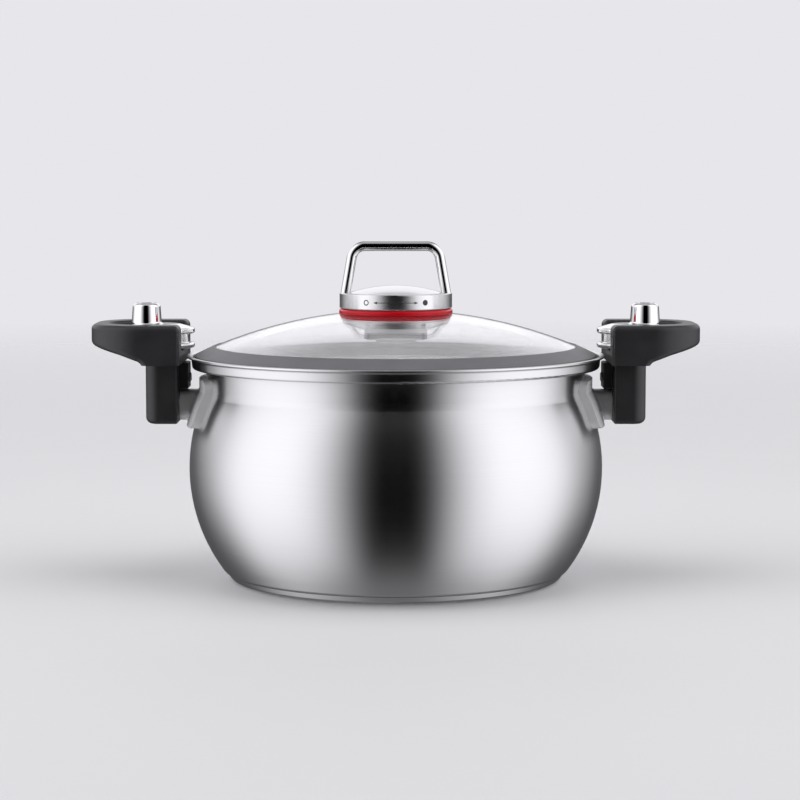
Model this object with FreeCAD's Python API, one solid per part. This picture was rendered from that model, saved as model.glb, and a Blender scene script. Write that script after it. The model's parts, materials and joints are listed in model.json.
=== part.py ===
"""Two-handled stew pot for light pressure, with a glass lid, a turning vent dial and sliding latches.

Frame: millimetres, +Z up, origin on the floor at the centre of the base. The handles lie along X.
Every separate piece is written to its own file. The shape is at rest with the lid closed and both
latches drawn back to their open stop.
"""

import FreeCAD, Part
import math
import os

from FreeCAD import Vector

# ---- driving dimensions -----------------------------------------------------------------------

# Pot: the belly is one arc in section, and the neck and rim are turned above it.
WALL = 1.0
BELLY_CENTRE = (21.7, 67.3)
BELLY_RADIUS = 102.7
SHELL_BOTTOM_Z = 5.0
NECK_R = 113.5
SHOULDER_RADIUS = 9.0
LEDGE_Z = 127.5
BAND_LOW_R = 122.2
BAND_TOP_R = 122.9
LIP_R = 125.3
LIP_TOP_Z = 135.3
LIP_THICK = 1.1

# Heat-spreading base.
CAP_FLAT_R = 93.0
CAP_THICK = 0.8
CORE_R = 96.0

# Welded brackets.
PLATE_THICK = 4.6
PLATE_HALF_WIDTH = 37.0
PLATE_LOW_Z = 93.5
PLATE_HIGH_Z = 121.5
PLATE_CORNER = 6.0
STUB_LOW_Z = 95.7
STUB_HIGH_Z = 114.0
STUB_HALF_WIDTH = 9.5
STUB_CORNER = 7.0
STUB_WALL = 1.8
STUB_START_X = 108.0
STUB_END_X = 143.5
NUT_LOW_X = 133.0
NUT_HIGH_X = 141.0

# Handles. A post carries the stub, and a D-shaped grip sits on the post.
HANDLE_INNER_X = 127.0
HANDLE_END_X = 181.8
POST_INNER_X = 129.7
POST_OUTER_X = 148.9
POST_HALF_WIDTH = 25.0
POST_LOW_Z = 95.0
POST_CORNER = 8.0
POST_FOOT_ROUND = 4.0
UNDER_ROOT_Z = 132.2
UNDER_BEND = (161.5, 136.8)
UNDER_TIP_Z = 142.6
PARTING_Z = 131.0
GRIP_TOP_Z = 154.4
GRIP_HALF_WIDTH = 39.0
GRIP_CORNER = 31.0
GRIP_FLOOR_Z = 138.6
SLOT_HALF_WIDTH = 21.7
SLOT_END_X = 172.0
FINGER_GAP_X = 151.0
OUTER_EDGE_ROUND = 3.4
INNER_EDGE_ROUND = 2.2
HANDLE_SCREW_R = 2.5
HANDLE_SCREW_HEAD_R = 4.6
GRIP_SCREW_R = 2.0
GRIP_SCREW_HEAD_R = 3.6
GRIP_SCREW_XY = (139.3, 17.0)
GRIP_SCREW_TOP_Z = 137.0
GRIP_SCREW_SEAT_Z = 99.5
COVER_INNER_X = 124.4
COVER_HALF_WIDTH = 9.5
COVER_LOW_Z = 114.8
COVER_HIGH_Z = 130.6
COVER_SCREW_Z = 121.5
COVER_SCREW_R = 1.2

# Latches. At rest the disc stands back from the lid by its full travel.
DISC_R = 21.1
NECK_DISC_R = 17.5
LATCH_LOCKED_X = 133.4
LATCH_TRAVEL = 8.7
FOOT_LOW_Z = 139.3
FOOT_HIGH_Z = 142.4
DISC_LOW_Z = 147.8
DISC_RIM_Z = 151.1
DISC_CROWN_Z = 153.6
PEG_OFFSET = 7.7
PEG_LOW_R = 9.2
PEG_TOP_R = 8.2
PEG_TOP_Z = 166.0
PEG_ROOT_ROUND = 1.4
LATCH_SCREW_R = 2.0
LATCH_SCREW_HEAD_R = 3.8
GUIDE_GAP = 0.25
GUIDE_LOW_Z = 142.8
GUIDE_HIGH_Z = 147.4
GUIDE_OUTER_Y = 31.0
GUIDE_LOW_X = 130.0
GUIDE_HIGH_X = 156.0
GUIDE_SCREW_XS = (134.5, 146.0)
GUIDE_SCREW_Y = 27.0
GUIDE_SCREW_R = 1.5
GUIDE_SCREW_HEAD_R = 2.7
GUIDE_SCREW_HEAD_LOW_Z = 132.0
GUIDE_SCREW_HEAD_TOP_Z = 133.8
BALL_R = 2.3
BALL_XY = (138.2, 10.0)
BALL_Z = 137.9
BALL_CLEAR = 0.3

# Lid. The dome is a spherical shell that flattens into a rim flange.
DOME_RADIUS = 285.0
DOME_APEX_Z = 161.7
GLASS_THICK = 4.0
DOME_EDGE_R = 108.0
FLANGE_R = 117.0
FLANGE_TOP_Z = 135.2
FLANGE_THICK = 3.8
FLANGE_START_R = 112.5
LID_HOLE_R = 27.0
SEAL_OUTER_R = 120.6
SEAL_INNER_R = 108.5
SEAL_INNER_Z = 140.9
SEAL_OUTER_Z = 135.2

# Knob, vent and dial.
GROMMET_R = 34.1
GROMMET_TOP_Z = 162.9
GROMMET_BORE_R = 12.1
VENT_TUBE_R = 12.0
VENT_LOW_Z = 141.8
VENT_FLANGE_R = 31.5
VENT_FLANGE_TOP_Z = 164.6
HUB_R = 12.0
HUB_TOP_Z = 170.2
BORE_R = 3.0
CHAMBER_R = 6.5
SEAT_LOW_Z = 157.0
SEAT_HIGH_Z = 160.0
DIAL_R = 33.8
DIAL_LOW_Z = 163.3
DIAL_TOP_Z = 172.3
DIAL_WALL_R = 32.0
DIAL_WEB_LOW_Z = 167.0
DIAL_WEB_TOP_Z = 169.0
DIAL_SEAT_R = 27.6
CAP_APEX_Z = 176.6
CAP_WALL = 1.2
BAIL_WIRE_R = 3.0
BAIL_TOP_Z = 200.1
BAIL_FOOT_X = 30.1
BAIL_SHOULDER_X = 25.3
BAIL_CORNER = 8.0
BAIL_FOOT_Z = 170.6
STEM_LIFT = 1.0
MARK_DEPTH = 0.2
MARK_PROUD = 0.04
MARK_Z = 167.6
MARK_ANGLE = 31.0


# ---- helpers ------------------------------------------------------------------------------------

def corner_arc(before, corner, after, radius):
    """Start, middle and end of the arc that rounds one corner of a flat outline."""
    to_before = (before - corner).normalize()
    to_after = (after - corner).normalize()
    half = to_before.getAngle(to_after) / 2
    reach = radius / math.tan(half)
    start = corner + to_before * reach
    end = corner + to_after * reach
    inward = (to_before + to_after).normalize()
    middle = corner + inward * (radius / math.sin(half) - radius)
    return start, middle, end


def rounded_wire(corners, place):
    """Closed wire through corners of (a, b) or (a, b, radius), placed in space by place(a, b)."""
    spots = [place(corner[0], corner[1]) for corner in corners]
    radii = [corner[2] if len(corner) > 2 else 0 for corner in corners]
    count = len(spots)
    edges = []
    ends = []
    for i in range(count):
        if radii[i] > 0:
            ends.append(corner_arc(spots[i - 1], spots[i], spots[(i + 1) % count], radii[i]))
        else:
            ends.append((spots[i], None, spots[i]))
    for i in range(count):
        start, middle, end = ends[i]
        following = ends[(i + 1) % count][0]
        if middle is not None:
            edges.append(Part.Arc(start, middle, end).toShape())
        if end.distanceToPoint(following) > 1e-6:
            edges.append(Part.LineSegment(end, following).toShape())
    return Part.Wire(edges)


def turned(corners):
    """Solid turned about Z from a closed outline of (radius, z[, corner radius]) points."""
    wire = rounded_wire(corners, lambda r, z: Vector(r, 0, z))
    return Part.Face(wire).revolve(Vector(0, 0, 0), Vector(0, 0, 1), 360)


def plan_block(corners, low, high):
    """Prism from a plan outline of (x, y[, corner radius]) points."""
    wire = rounded_wire(corners, lambda x, y: Vector(x, y, low))
    return Part.Face(wire).extrude(Vector(0, 0, high - low))


def side_block(corners, half_width):
    """Prism along Y from a side outline of (x, z[, corner radius]) points."""
    wire = rounded_wire(corners, lambda x, z: Vector(x, -half_width, z))
    return Part.Face(wire).extrude(Vector(0, 2 * half_width, 0))


def box(x0, x1, y0, y1, z0, z1):
    """Box between two corners."""
    return Part.makeBox(x1 - x0, y1 - y0, z1 - z0, Vector(x0, y0, z0))


def rod(radius, start, end):
    """Round bar between two points."""
    along = end - start
    return Part.makeCylinder(radius, along.Length, start, along)


def join(*shapes):
    """One clean solid from several that touch."""
    return shapes[0].fuse(list(shapes[1:])).removeSplitter()


def edges_where(shape, test):
    """Edges whose middle point passes the test."""
    chosen = []
    for edge in shape.Edges:
        middle = edge.valueAt((edge.FirstParameter + edge.LastParameter) / 2)
        if test(middle):
            chosen.append(edge)
    return chosen


def solids_of(shape):
    """The shape's solids as one compound, so that every file holds plain solids."""
    solids = shape.Solids
    if len(solids) == 1:
        return solids[0]
    return Part.makeCompound(solids)


def mirrored(shape):
    """The same piece on the other side of the pot."""
    return shape.mirror(Vector(0, 0, 0), Vector(1, 0, 0))


def write(name, shape):
    """Write one piece to its own file."""
    solids_of(shape).exportStep("parts/" + name + ".step")


def write_pair(name, shape):
    """Write the right-hand piece and its mirror image."""
    write(name + "_right", shape)
    write(name + "_left", mirrored(shape))


# ---- pot ----------------------------------------------------------------------------------------

def belly_r(z, radius=BELLY_RADIUS):
    """Radius of the belly arc at a height."""
    return BELLY_CENTRE[0] + math.sqrt(radius ** 2 - (z - BELLY_CENTRE[1]) ** 2)


def belly_z(r, radius, above):
    """Height at which the belly arc crosses a radius, above or below its widest point."""
    rise = math.sqrt(radius ** 2 - (r - BELLY_CENTRE[0]) ** 2)
    return BELLY_CENTRE[1] + (rise if above else -rise)


def belly_edge(radius, z_start, z_end):
    """Arc of the belly between two heights."""
    middle_z = (z_start + z_end) / 2
    ends = [Vector(belly_r(z, radius), 0, z) for z in (z_start, middle_z, z_end)]
    return Part.Arc(*ends).toShape()


def make_pot_shell():
    """Drawn steel pot: flat bottom, belly, neck, stepped rim band and lip, all of one wall."""
    inner_radius = BELLY_RADIUS - WALL
    neck_in = NECK_R - WALL
    bottom_in = SHELL_BOTTOM_Z + WALL
    low_out = SHELL_BOTTOM_Z
    high_out = belly_z(NECK_R, BELLY_RADIUS, True)
    high_in = belly_z(neck_in, inner_radius, True)
    start_out = Vector(belly_r(low_out), 0, low_out)
    start_in = Vector(belly_r(bottom_in, inner_radius), 0, bottom_in)
    rim = [
        Vector(NECK_R, 0, high_out),
        Vector(NECK_R, 0, LEDGE_Z),
        Vector(BAND_LOW_R, 0, LEDGE_Z),
        Vector(BAND_TOP_R, 0, LIP_TOP_Z - LIP_THICK - 0.6),
        Vector(LIP_R, 0, LIP_TOP_Z - LIP_THICK),
        Vector(LIP_R, 0, LIP_TOP_Z),
        Vector(BAND_TOP_R - WALL + 0.2, 0, LIP_TOP_Z),
        Vector(BAND_LOW_R - WALL, 0, LEDGE_Z + WALL),
        Vector(neck_in, 0, LEDGE_Z + WALL),
        Vector(neck_in, 0, high_in),
    ]
    edges = [Part.LineSegment(Vector(0, 0, low_out), start_out).toShape()]
    edges.append(belly_edge(BELLY_RADIUS, low_out, high_out))
    for i in range(len(rim) - 1):
        edges.append(Part.LineSegment(rim[i], rim[i + 1]).toShape())
    edges.append(belly_edge(inner_radius, high_in, bottom_in))
    edges.append(Part.LineSegment(start_in, Vector(0, 0, bottom_in)).toShape())
    edges.append(Part.LineSegment(Vector(0, 0, bottom_in), Vector(0, 0, low_out)).toShape())
    shell = Part.Face(Part.Wire(edges)).revolve(Vector(0, 0, 0), Vector(0, 0, 1), 360)
    rounds = [
        (start_out, 4.0),
        (start_in, 3.0),
        (rim[0], SHOULDER_RADIUS),
        (rim[9], SHOULDER_RADIUS - WALL),
        (rim[1], 0.8),
        (rim[2], 1.6),
        (rim[3], 1.2),
        (rim[5], 0.6),
        (rim[6], 1.4),
        (rim[7], 0.7),
        (rim[8], 1.4),
    ]
    for spot, radius in rounds:
        circles = [e for e in shell.Edges if is_circle_through(e, spot)]
        shell = shell.makeFillet(radius, circles)
    return shell


def is_circle_through(edge, spot):
    """Whether an edge is the circle about Z through a point of the section."""
    if not isinstance(edge.Curve, Part.Circle):
        return False
    same_radius = abs(edge.Curve.Radius - spot.x) < 0.01
    return same_radius and abs(edge.Curve.Center.z - spot.z) < 0.01


def make_base_cap():
    """Shallow steel pan that closes the heat-spreading core under the pot."""
    rim_r = belly_r(SHELL_BOTTOM_Z) - 1.0
    return turned([
        (0, 0),
        (CAP_FLAT_R, 0, 12.0),
        (99.8, 1.2, 3.0),
        (rim_r, SHELL_BOTTOM_Z),
        (rim_r - CAP_THICK - 0.4, SHELL_BOTTOM_Z),
        (99.2, 2.1, 2.0),
        (CAP_FLAT_R, CAP_THICK, 12.0),
        (0, CAP_THICK),
    ])


def make_base_core():
    """Aluminium disc between pot and base cap."""
    return turned([
        (0, CAP_THICK),
        (CAP_FLAT_R - 3, CAP_THICK),
        (CORE_R, 2.3, 1.0),
        (CORE_R, SHELL_BOTTOM_Z),
        (0, SHELL_BOTTOM_Z),
    ])


def filled_pot():
    """The pot below its rim as a full body, for cutting what is welded to it."""
    neck = belly_z(NECK_R, BELLY_RADIUS, True)
    path = [
        Vector(NECK_R, 0, neck),
        Vector(NECK_R, 0, LEDGE_Z),
        Vector(0, 0, LEDGE_Z),
        Vector(0, 0, SHELL_BOTTOM_Z),
        Vector(belly_r(SHELL_BOTTOM_Z), 0, SHELL_BOTTOM_Z),
    ]
    edges = [Part.LineSegment(path[i], path[i + 1]).toShape() for i in range(len(path) - 1)]
    edges.append(belly_edge(BELLY_RADIUS, SHELL_BOTTOM_Z, neck))
    solid = Part.Face(Part.Wire(edges)).revolve(Vector(0, 0, 0), Vector(0, 0, 1), 360)
    circles = [e for e in solid.Edges if is_circle_through(e, path[0])]
    return solid.makeFillet(SHOULDER_RADIUS, circles)


def make_bracket_plate(pot):
    """Thick saddle plate that follows the belly and the neck under the rim."""
    outer = BELLY_RADIUS + PLATE_THICK
    neck_out = NECK_R + PLATE_THICK
    turn_z = belly_z(neck_out, outer, True)
    core_r = NECK_R - PLATE_THICK
    path = [
        Vector(neck_out, 0, turn_z),
        Vector(neck_out, 0, PLATE_HIGH_Z),
        Vector(core_r, 0, PLATE_HIGH_Z),
        Vector(core_r, 0, PLATE_LOW_Z),
        Vector(belly_r(PLATE_LOW_Z, outer), 0, PLATE_LOW_Z),
    ]
    edges = [belly_edge(outer, PLATE_LOW_Z, turn_z)]
    for i in range(len(path) - 1):
        edges.append(Part.LineSegment(path[i], path[i + 1]).toShape())
    band = Part.Face(Part.Wire(edges)).revolve(Vector(0, 0, 0), Vector(0, 0, 1), 360)
    half = PLATE_HALF_WIDTH
    outline = rounded_wire(
        [
            (-half, PLATE_LOW_Z, PLATE_CORNER),
            (half, PLATE_LOW_Z, PLATE_CORNER),
            (half, PLATE_HIGH_Z, PLATE_CORNER),
            (-half, PLATE_HIGH_Z, PLATE_CORNER),
        ],
        lambda y, z: Vector(0, y, z),
    )
    window = Part.Face(outline).extrude(Vector(outer * 2, 0, 0))
    return band.common(window).cut(pot)


def stub_block(x0, x1, inset=0.0):
    """Bar with the stub's rounded section, or that section taken in by an inset."""
    half = STUB_HALF_WIDTH - inset
    radius = STUB_CORNER - inset
    low = STUB_LOW_Z + inset
    high = STUB_HIGH_Z - inset
    corners = [(-half, low, radius), (half, low, radius), (half, high, radius), (-half, high, radius)]
    outline = rounded_wire(corners, lambda y, z: Vector(x0, y, z))
    return Part.Face(outline).extrude(Vector(x1 - x0, 0, 0))


def make_bracket_stub(pot, plate):
    """Rounded tube from plate to handle, welded to the plate."""
    tube = stub_block(STUB_START_X, STUB_END_X).cut(stub_block(STUB_START_X, STUB_END_X, STUB_WALL))
    pieces = tube.cut(pot).cut(plate).Solids
    return max(pieces, key=lambda piece: piece.CenterOfMass.x)


# ---- handles ------------------------------------------------------------------------------------

STUB_MIDDLE_Z = (STUB_LOW_Z + STUB_HIGH_Z) / 2


def make_bracket_nut():
    """Block nut inside the stub's outer end."""
    hole = rod(HANDLE_SCREW_R, Vector(NUT_LOW_X, 0, STUB_MIDDLE_Z), Vector(NUT_HIGH_X, 0, STUB_MIDDLE_Z))
    return stub_block(NUT_LOW_X, NUT_HIGH_X, STUB_WALL).cut(hole)


def make_handle_screw():
    """Screw that pulls the post on to the stub, in a recess of the post's outer face."""
    head_x = POST_OUTER_X - 4.0
    shank = rod(HANDLE_SCREW_R, Vector(NUT_LOW_X, 0, STUB_MIDDLE_Z), Vector(head_x, 0, STUB_MIDDLE_Z))
    head = rod(HANDLE_SCREW_HEAD_R, Vector(head_x, 0, STUB_MIDDLE_Z), Vector(head_x + 2.6, 0, STUB_MIDDLE_Z))
    head = head.makeFillet(0.8, edges_where(head, lambda p: p.x > head_x + 2.5))
    drive = box(head_x + 1.4, head_x + 3, -0.6, 0.6, STUB_MIDDLE_Z - 3, STUB_MIDDLE_Z + 3)
    cross = box(head_x + 1.4, head_x + 3, -3, 3, STUB_MIDDLE_Z - 0.6, STUB_MIDDLE_Z + 0.6)
    return join(shank, head).cut(drive).cut(cross)


def make_grip_screws():
    """Two long screws that hold the grip down on the post, with heads under the post."""
    screws = []
    for side in (-1, 1):
        x, y = GRIP_SCREW_XY[0], side * GRIP_SCREW_XY[1]
        shank = rod(GRIP_SCREW_R, Vector(x, y, GRIP_SCREW_SEAT_Z), Vector(x, y, GRIP_SCREW_TOP_Z))
        head = rod(GRIP_SCREW_HEAD_R, Vector(x, y, POST_LOW_Z + 2.2), Vector(x, y, GRIP_SCREW_SEAT_Z))
        slot = box(x - 2.6, x + 2.6, y - 0.5, y + 0.5, POST_LOW_Z + 2, POST_LOW_Z + 3.2)
        screws.append(join(shank, head).cut(slot))
    return Part.makeCompound(screws)


def handle_underside():
    """What lies below the loop and beyond the post, with the soft bend between the two."""
    far = HANDLE_END_X + 2
    below = POST_LOW_Z - 5
    outline = [
        (POST_OUTER_X, below),
        (POST_OUTER_X, UNDER_ROOT_Z, 5.0),
        (UNDER_BEND[0], UNDER_BEND[1], 40.0),
        (far, UNDER_TIP_Z),
        (far, below),
    ]
    return side_block(outline, GRIP_HALF_WIDTH + 1)


def make_handle_post():
    """Black leg that takes the stub, flared where it meets the grip."""
    half = POST_HALF_WIDTH
    post = box(POST_INNER_X, POST_OUTER_X + 6, -half, half, POST_LOW_Z, PARTING_Z).cut(handle_underside())
    flank = edges_where(
        post,
        lambda p: abs(abs(p.y) - half) < 0.01 and p.x > POST_OUTER_X - 0.01 and p.z < PARTING_Z - 0.01,
    )
    post = post.makeFillet(POST_CORNER, flank)
    foot = edges_where(post, lambda p: abs(p.z - POST_LOW_Z) < 0.01 and p.x > POST_INNER_X + 0.01)
    post = post.makeFillet(POST_FOOT_ROUND, foot)
    inner = edges_where(post, lambda p: abs(p.x - POST_INNER_X) < 0.01 and p.z < PARTING_Z - 0.01)
    post = post.makeFillet(1.2, inner)
    post = post.cut(stub_block(POST_INNER_X - 1, STUB_END_X))
    shank = rod(HANDLE_SCREW_R, Vector(STUB_END_X, 0, STUB_MIDDLE_Z), Vector(POST_OUTER_X, 0, STUB_MIDDLE_Z))
    recess = rod(
        HANDLE_SCREW_HEAD_R + 0.3,
        Vector(POST_OUTER_X - 4.0, 0, STUB_MIDDLE_Z),
        Vector(POST_OUTER_X + 1, 0, STUB_MIDDLE_Z),
    )
    post = post.cut(shank).cut(recess)
    for side in (-1, 1):
        x, y = GRIP_SCREW_XY[0], side * GRIP_SCREW_XY[1]
        foot_spot = Vector(x, y, POST_LOW_Z)
        post = post.cut(rod(GRIP_SCREW_R, foot_spot, Vector(x, y, PARTING_Z)))
        post = post.cut(rod(GRIP_SCREW_HEAD_R + 0.3, foot_spot, Vector(x, y, GRIP_SCREW_SEAT_Z)))
    cover_start = Vector(POST_INNER_X, 0, COVER_SCREW_Z)
    return post.cut(rod(COVER_SCREW_R, cover_start, cover_start + Vector(7, 0, 0)))


def make_handle_grip():
    """D-shaped loop with a floor over the post, a finger gap beyond it and slots for the guides."""
    half = GRIP_HALF_WIDTH
    outline = [
        (HANDLE_INNER_X, -half, 2.0),
        (HANDLE_END_X, -half, GRIP_CORNER),
        (HANDLE_END_X, half, GRIP_CORNER),
        (HANDLE_INNER_X, half, 2.0),
    ]
    grip = plan_block(outline, PARTING_Z, GRIP_TOP_Z).cut(handle_underside())
    rims = edges_where(grip, lambda p: is_grip_outer_rim(p))
    grip = grip.makeFillet(OUTER_EDGE_ROUND, rims)
    bend_x = SLOT_END_X - SLOT_HALF_WIDTH
    channel = long_hole(HANDLE_INNER_X - 5, bend_x, SLOT_HALF_WIDTH, GRIP_FLOOR_Z, GRIP_TOP_Z + 1)
    grip = grip.cut(channel)
    top_edges = edges_where(grip, lambda p: abs(p.z - GRIP_TOP_Z) < 0.01 and abs(p.y) < SLOT_HALF_WIDTH + 1)
    grip = grip.makeFillet(INNER_EDGE_ROUND, top_edges)
    gap_edge = SLOT_HALF_WIDTH - 0.2
    gap_low = PARTING_Z - 5
    gap_high = GRIP_FLOOR_Z + 1
    beyond_post = box(FINGER_GAP_X, SLOT_END_X, -gap_edge, gap_edge, gap_low, gap_high)
    hollow = Part.makeCylinder(gap_edge, gap_high - gap_low, Vector(bend_x, 0, gap_low))
    grip = grip.cut(hollow.common(beyond_post))
    for side in (-1, 1):
        grip = grip.cut(guide_bar(side))
        for x in GUIDE_SCREW_XS:
            grip = grip.cut(guide_screw_hole(x, side))
        x, y = GRIP_SCREW_XY[0], side * GRIP_SCREW_XY[1]
        grip = grip.cut(rod(GRIP_SCREW_R, Vector(x, y, PARTING_Z), Vector(x, y, GRIP_SCREW_TOP_Z)))
    return grip.cut(detent_pocket())


def is_grip_outer_rim(point):
    """Whether a point lies on the outside edge of the loop, above or below."""
    along_wall = abs(abs(point.y) - GRIP_HALF_WIDTH) < 0.01 or point.x > HANDLE_END_X - GRIP_CORNER
    on_top = abs(point.z - GRIP_TOP_Z) < 0.01
    below = point.z < UNDER_TIP_Z + 0.5 and point.x > POST_OUTER_X
    return along_wall and (on_top or below)


def long_hole(x0, bend_x, half_width, low, high):
    """Channel along X that ends in a half circle at bend_x."""
    run = box(x0, bend_x, -half_width, half_width, low, high)
    return run.fuse(Part.makeCylinder(half_width, high - low, Vector(bend_x, 0, low))).removeSplitter()


def make_inner_cover():
    """Small black boss on the pot side of the post, above the stub."""
    half = COVER_HALF_WIDTH
    cover = box(COVER_INNER_X, POST_INNER_X, -half, half, COVER_LOW_Z, COVER_HIGH_Z)
    rims = edges_where(cover, lambda p: abs(p.x - COVER_INNER_X) < 0.01 or abs(abs(p.y) - half) < 0.01)
    free_rims = [e for e in rims if abs(e.CenterOfMass.x - POST_INNER_X) > 0.01]
    cover = cover.makeFillet(0.9, free_rims)
    hole = rod(COVER_SCREW_R, Vector(COVER_INNER_X, 0, COVER_SCREW_Z), Vector(POST_INNER_X, 0, COVER_SCREW_Z))
    return cover.cut(hole)


def make_inner_cover_screw():
    """Pan-head screw that holds the inner cover."""
    face = Vector(COVER_INNER_X, 0, COVER_SCREW_Z)
    shank = rod(COVER_SCREW_R, face, Vector(POST_INNER_X + 6, 0, COVER_SCREW_Z))
    head = rod(2.7, face - Vector(1.2, 0, 0), face)
    head = head.makeFillet(0.6, edges_where(head, lambda p: p.x < COVER_INNER_X - 1.1))
    slot = box(COVER_INNER_X - 2, COVER_INNER_X - 0.5, -0.4, 0.4, COVER_SCREW_Z - 3, COVER_SCREW_Z + 3)
    return join(shank, head).cut(slot)


# ---- latches ------------------------------------------------------------------------------------

LATCH_X = LATCH_LOCKED_X + LATCH_TRAVEL


def guide_bar(side):
    """One steel rail, whose inner edge stands in the latch's groove."""
    inner = NECK_DISC_R + GUIDE_GAP
    low, high = sorted((side * inner, side * GUIDE_OUTER_Y))
    return box(GUIDE_LOW_X, GUIDE_HIGH_X, low, high, GUIDE_LOW_Z, GUIDE_HIGH_Z)


def guide_screw(x, side):
    """Screw from under the grip into a rail."""
    y = side * GUIDE_SCREW_Y
    low = GUIDE_SCREW_HEAD_LOW_Z
    high = GUIDE_SCREW_HEAD_TOP_Z
    shank = rod(GUIDE_SCREW_R, Vector(x, y, high), Vector(x, y, GUIDE_HIGH_Z))
    head = rod(GUIDE_SCREW_HEAD_R, Vector(x, y, low), Vector(x, y, high))
    slot = box(x - 2.0, x + 2.0, y - 0.4, y + 0.4, low - 0.1, low + 0.8)
    return join(shank, head).cut(slot)


def guide_screw_hole(x, side):
    """Hole for a guide screw and the recess for its head."""
    y = side * GUIDE_SCREW_Y
    shank = rod(GUIDE_SCREW_R, Vector(x, y, GUIDE_SCREW_HEAD_LOW_Z), Vector(x, y, GUIDE_LOW_Z))
    recess = rod(GUIDE_SCREW_HEAD_R + 0.2, Vector(x, y, PARTING_Z - 1), Vector(x, y, GUIDE_SCREW_HEAD_TOP_Z))
    return shank.fuse(recess)


def make_latch_guides():
    """Both rails of one handle."""
    bars = []
    for side in (-1, 1):
        bar = guide_bar(side)
        for x in GUIDE_SCREW_XS:
            y = side * GUIDE_SCREW_Y
            bar = bar.cut(rod(GUIDE_SCREW_R, Vector(x, y, GUIDE_LOW_Z - 1), Vector(x, y, GUIDE_HIGH_Z + 1)))
        bars.append(bar)
    return Part.makeCompound(bars)


def make_guide_screws():
    """The four guide screws of one handle."""
    return Part.makeCompound([guide_screw(x, side) for side in (-1, 1) for x in GUIDE_SCREW_XS])


def make_latch_foot():
    """Lower flange and neck, with a track underneath for the detent ball."""
    foot = turned([
        (LATCH_SCREW_R, FOOT_LOW_Z),
        (DISC_R, FOOT_LOW_Z, 1.2),
        (DISC_R, FOOT_HIGH_Z, 1.2),
        (NECK_DISC_R, FOOT_HIGH_Z, 0.4),
        (NECK_DISC_R, DISC_LOW_Z),
        (LATCH_SCREW_R, DISC_LOW_Z),
    ])
    recess = rod(LATCH_SCREW_HEAD_R + 0.2, Vector(0, 0, FOOT_LOW_Z - 1), Vector(0, 0, FOOT_LOW_Z + 2.6))
    foot = foot.cut(recess)
    foot.translate(Vector(LATCH_X, 0, 0))
    track_r = BALL_R + BALL_CLEAR
    start = Vector(BALL_XY[0], BALL_XY[1], BALL_Z)
    end = start + Vector(LATCH_TRAVEL, 0, 0)
    track = rod(track_r, start, end).fuse([Part.makeSphere(track_r, start), Part.makeSphere(track_r, end)])
    return foot.cut(track)


def make_latch_cap():
    """Chrome disc with a crowned top and an off-centre finger peg."""
    disc = turned([
        (0, DISC_LOW_Z),
        (DISC_R, DISC_LOW_Z, 1.3),
        (DISC_R, DISC_RIM_Z, 1.3),
        (PEG_LOW_R + 3, DISC_CROWN_Z, 6.0),
        (0, DISC_CROWN_Z),
    ])
    peg = turned([
        (0, DISC_RIM_Z),
        (PEG_LOW_R, DISC_RIM_Z),
        (PEG_TOP_R, PEG_TOP_Z, 2.4),
        (PEG_TOP_R - 3.6, PEG_TOP_Z, 0.9),
        (PEG_TOP_R - 4.6, PEG_TOP_Z - 0.5, 0.9),
        (0, PEG_TOP_Z - 0.5),
    ])
    peg.translate(Vector(PEG_OFFSET, 0, 0))
    cap = join(disc, peg)

    def at_peg_root(point):
        return abs(math.hypot(point.x - PEG_OFFSET, point.y) - PEG_LOW_R) < 0.35 and point.z < PEG_TOP_Z - 6

    cap = cap.makeFillet(PEG_ROOT_ROUND, edges_where(cap, at_peg_root))
    cap = cap.cut(rod(LATCH_SCREW_R, Vector(0, 0, DISC_LOW_Z - 1), Vector(0, 0, DISC_RIM_Z + 1)))
    cap.translate(Vector(LATCH_X, 0, 0))
    return cap


def make_latch_screw():
    """Screw that draws foot and cap together."""
    head_z = FOOT_LOW_Z + 0.6
    shank = rod(LATCH_SCREW_R, Vector(LATCH_X, 0, head_z + 2.0), Vector(LATCH_X, 0, DISC_RIM_Z))
    head = rod(LATCH_SCREW_HEAD_R, Vector(LATCH_X, 0, head_z), Vector(LATCH_X, 0, head_z + 2.0))
    slot = box(LATCH_X - 3, LATCH_X + 3, -0.5, 0.5, head_z - 0.1, head_z + 0.9)
    return join(shank, head).cut(slot)


def detent_pocket():
    """Blind hole in the grip's floor for the detent ball and spring."""
    x, y = BALL_XY
    return rod(BALL_R + 0.1, Vector(x, y, PARTING_Z + 1.5), Vector(x, y, GRIP_FLOOR_Z + 1))


def make_detent_ball():
    """Steel ball that rides in the latch's track."""
    return Part.makeSphere(BALL_R, Vector(BALL_XY[0], BALL_XY[1], BALL_Z))


def coil(radius, wire_radius, low, high, turns):
    """Coil spring standing on Z between two heights, with its wire inside them."""
    pitch = (high - low - 2 * wire_radius) / turns
    path = Part.makeHelix(pitch, pitch * turns, radius)
    section = Part.Wire(Part.makeCircle(wire_radius, Vector(radius, 0, 0), Vector(0, 1, 0)))
    spring = Part.Wire(path).makePipeShell([section], True, True)
    spring.translate(Vector(0, 0, low + wire_radius))
    return spring


def make_detent_spring():
    """Spring that pushes the ball up."""
    x, y = BALL_XY
    spring = coil(1.5, 0.3, PARTING_Z + 1.5, BALL_Z - BALL_R, 3)
    spring.translate(Vector(x, y, 0))
    return spring


# ---- lid ----------------------------------------------------------------------------------------

DOME_CENTRE_Z = DOME_APEX_Z - DOME_RADIUS


def dome_z(r, radius=DOME_RADIUS):
    """Height of a dome surface at a radius."""
    return DOME_CENTRE_Z + math.sqrt(radius ** 2 - r ** 2)


def dome_edge(radius, r_start, r_end):
    """Arc of a dome surface between two radii."""
    middle = (r_start + r_end) / 2
    return Part.Arc(*[Vector(r, 0, dome_z(r, radius)) for r in (r_start, middle, r_end)]).toShape()


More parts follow.
